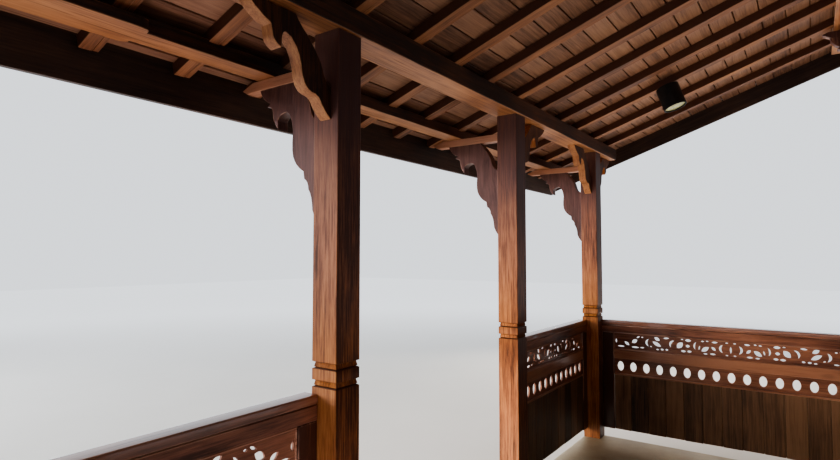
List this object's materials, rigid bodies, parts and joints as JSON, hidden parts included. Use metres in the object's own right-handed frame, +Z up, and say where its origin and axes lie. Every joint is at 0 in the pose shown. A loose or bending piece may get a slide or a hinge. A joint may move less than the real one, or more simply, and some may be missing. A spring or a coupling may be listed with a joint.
{
  "type": "carved timber veranda with a lean-to roof",
  "caption": "Open lean-to veranda on square timber posts: carved brackets, pierced balustrades, boarded ceiling on rafters, cement floor.",
  "frame": {"origin": "middle of the whole veranda's plan, at the ground under the floor slab", "axes": "+X from the eave towards the house side, +Y along the front, +Z up"},
  "size_m": [2.9994, 5.9694, 3.465],
  "materials": {
    "floor": "polished cement with a soft sheen",
    "post_wood": "varnished teak",
    "beam_wood": "oiled teak",
    "carved_wood": "oiled teak, carved",
    "rafter_wood": "oiled, knotty boards",
    "roof_cover": "weathered clay",
    "trim_wood": "dark stain",
    "rail_wood": "varnished, dark red-brown",
    "lamp_black": "satin black",
    "lamp_lens": "frosted"
  },
  "bodies": {
    "root": {"floor_slab": "floor", "outer_post_1": "post_wood", "outer_post_2": "post_wood", "outer_post_3": "post_wood", "outer_post_4": "post_wood", "inner_post_1": "post_wood", "inner_post_2": "post_wood", "inner_post_3": "post_wood", "inner_post_4": "post_wood", "outer_beam": "beam_wood", "inner_beam": "beam_wood", "eave_purlin": "beam_wood", "inner_purlin": "beam_wood", "eave_arm_1": "beam_wood", "eave_arm_2": "beam_wood", "eave_arm_3": "beam_wood", "eave_arm_4": "beam_wood", "eave_console_1": "carved_wood", "eave_console_2": "carved_wood", "eave_console_3": "carved_wood", "eave_console_4": "carved_wood", "inner_bracket_1": "carved_wood", "inner_bracket_2": "carved_wood", "inner_bracket_3": "carved_wood", "inner_bracket_4": "carved_wood", "knee_1_left": "carved_wood", "knee_1_right": "carved_wood", "knee_2_left": "carved_wood", "knee_3_right": "carved_wood", "knee_4_left": "carved_wood", "knee_4_right": "carved_wood", "rafters_and_deck": "rafter_wood", "roof_tiles": "roof_cover", "eave_fascia": "trim_wood", "top_fascia": "trim_wood", "barge_board_left": "trim_wood", "barge_board_right": "trim_wood", "cap_rail_front_left": "rail_wood", "cap_rail_front_right": "rail_wood", "cap_rail_end_left": "rail_wood", "cap_rail_end_right": "rail_wood", "balustrade_front_left": "rail_wood", "balustrade_front_right": "rail_wood", "balustrade_end_left": "rail_wood", "balustrade_end_right": "rail_wood", "spot_lamp": "lamp_black", "lamp_lens": "lamp_lens"}
  },
  "joints": []
}
